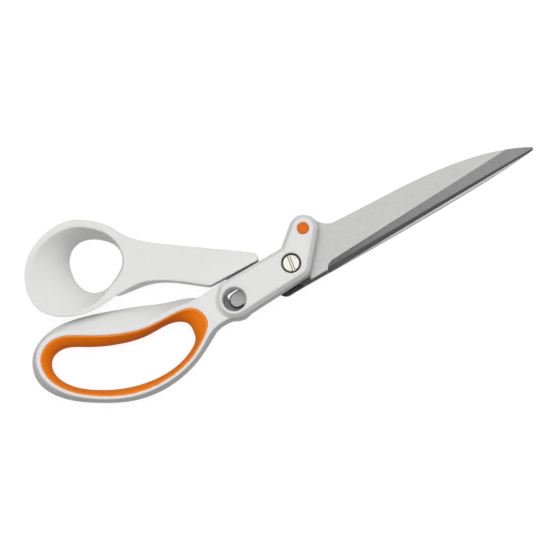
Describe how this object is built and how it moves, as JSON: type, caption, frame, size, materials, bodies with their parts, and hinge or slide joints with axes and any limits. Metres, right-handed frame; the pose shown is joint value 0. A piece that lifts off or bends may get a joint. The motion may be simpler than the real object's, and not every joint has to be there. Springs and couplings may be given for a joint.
{
  "type": "fabric shears",
  "caption": "Right-handed fabric shears with long blades, a finger loop with a soft liner, a funnel-shaped thumb loop and a pinned lever arm over a slotted pivot screw.",
  "frame": {"origin": "on the pivot screw's axis, in the flat back of the pivot nut, which is also the plane that the closed shears lie on", "axes": "+X along the blades to the tips, +Y across to the thumb loop's side, +Z along the pivot's axis, out of the front face"},
  "size_m": [0.2489, 0.0894, 0.0168],
  "materials": {
    "white_plastic": "fine satin moulding",
    "orange_grip": "soft-touch moulding, satin",
    "orange_plastic": "smooth",
    "blade_steel": "satin ground",
    "plated_steel": "bright nickel plate",
    "dark_steel": "black oxide",
    "plain_steel": "plain"
  },
  "bodies": {
    "front_half": {"front_blade": "blade_steel", "link_pin": "plain_steel", "link_washer": "plain_steel", "pivot_sleeve": "dark_steel", "head_washer": "dark_steel", "ride_washer": "plain_steel"},
    "finger_half": {"finger_handle": "white_plastic", "finger_grip": "orange_grip", "pin_cap": "orange_plastic"},
    "thumb_half": {"rear_blade": "blade_steel", "thumb_handle": "white_plastic", "pivot_nut": "plated_steel", "nut_washer": "plain_steel"},
    "screw": {"pivot_screw": "plated_steel"}
  },
  "joints": [
    {"name": "main_pivot", "type": "hinge", "parent": "front_half", "child": "thumb_half", "pos_m": [0, 0, 0.0057], "axis": [0, 0, -1], "range_deg": [0, 60]},
    {"name": "lever_rock", "type": "hinge", "parent": "front_half", "child": "finger_half", "pos_m": [0.0128, 0.0109, 0.0125], "axis": [0, 0, 1], "range_deg": [0, 1.2]},
    {"name": "screw_turn", "type": "hinge", "parent": "thumb_half", "child": "screw", "pos_m": [0, 0, 0.014], "axis": [0, 0, 1], "range_deg": [-90, 90]}
  ]
}
